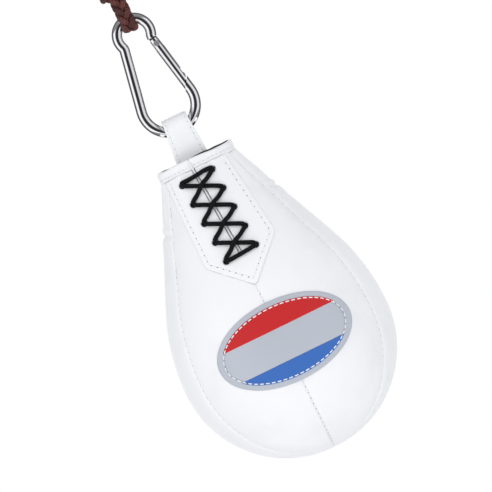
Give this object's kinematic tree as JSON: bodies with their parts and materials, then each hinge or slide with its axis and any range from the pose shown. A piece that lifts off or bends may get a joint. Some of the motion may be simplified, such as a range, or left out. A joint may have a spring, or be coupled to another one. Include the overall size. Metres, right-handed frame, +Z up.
{
  "type": "hanging striking bag",
  "caption": "Laced, pear-shaped striking bag of white leathercloth, hung by a folded strap from a spring-gate snap hook on a knotted braided rope.",
  "frame": {"origin": "where the top of the rope's eye bears on whatever holds the bag up", "axes": "+Z up, the bag hanging along -Z; the laced front with its badge faces -Y"},
  "size_m": [0.152, 0.1531, 0.4125],
  "materials": {
    "white_leathercloth": "satin",
    "lining": "matte",
    "polished_steel": "polished",
    "spring_steel": "drawn",
    "braided_rope": "matte",
    "black_lace": "matte",
    "badge_silver": "satin",
    "badge_red": "satin",
    "badge_blue": "satin",
    "bladder_rubber": "matte"
  },
  "bodies": {
    "rope": {"rope_eye": "braided_rope", "rope_knot": "braided_rope", "rope_bight": "braided_rope"},
    "hook": {"hook_body": "polished_steel"},
    "gate": {"hook_gate": "polished_steel", "gate_rivet": "polished_steel", "gate_spring": "spring_steel"},
    "plunger": {"gate_plunger": "spring_steel"},
    "bag": {"hanging_strap": "white_leathercloth", "collar_binding": "white_leathercloth", "gore_front_left": "white_leathercloth", "gore_front_right": "white_leathercloth", "gore_side_left": "white_leathercloth", "gore_side_right": "white_leathercloth", "gore_back_left": "white_leathercloth", "gore_back_right": "white_leathercloth", "lacing_facing": "white_leathercloth", "lace": "black_lace", "slit_tongue": "lining", "badge_base": "badge_silver", "badge_top_field": "badge_red", "badge_bottom_field": "badge_blue", "bladder": "bladder_rubber", "bladder_valve": "bladder_rubber", "valve_plug": "bladder_rubber"}
  },
  "joints": [
    {"name": "hook_swing", "type": "hinge", "parent": "rope", "child": "hook", "pos_m": [0, 0, -0.0934], "axis": [0, 1, 0], "range_deg": [-70, 70]},
    {"name": "gate_open", "type": "hinge", "parent": "hook", "child": "gate", "pos_m": [0.01151, 0, -0.10542], "axis": [0, 1, 0], "range_deg": [0, 25], "stiffness_Nm_per_rad": 0.3, "springref_deg": -17.19},
    {"name": "plunger_slide", "type": "slide", "parent": "gate", "child": "plunger", "axis": [0.184, 0, -0.9829], "range_m": [0, 0.0013], "deforming": ["gate_spring"]},
    {"name": "bag_swing", "type": "hinge", "parent": "hook", "child": "bag", "pos_m": [0, 0, -0.1662], "axis": [1, 0, 0], "range_deg": [-80, 80]}
  ],
  "couplings": [
    {"joint": "plunger_slide", "follows": "gate_open", "m_per_rad": 0.0027}
  ]
}
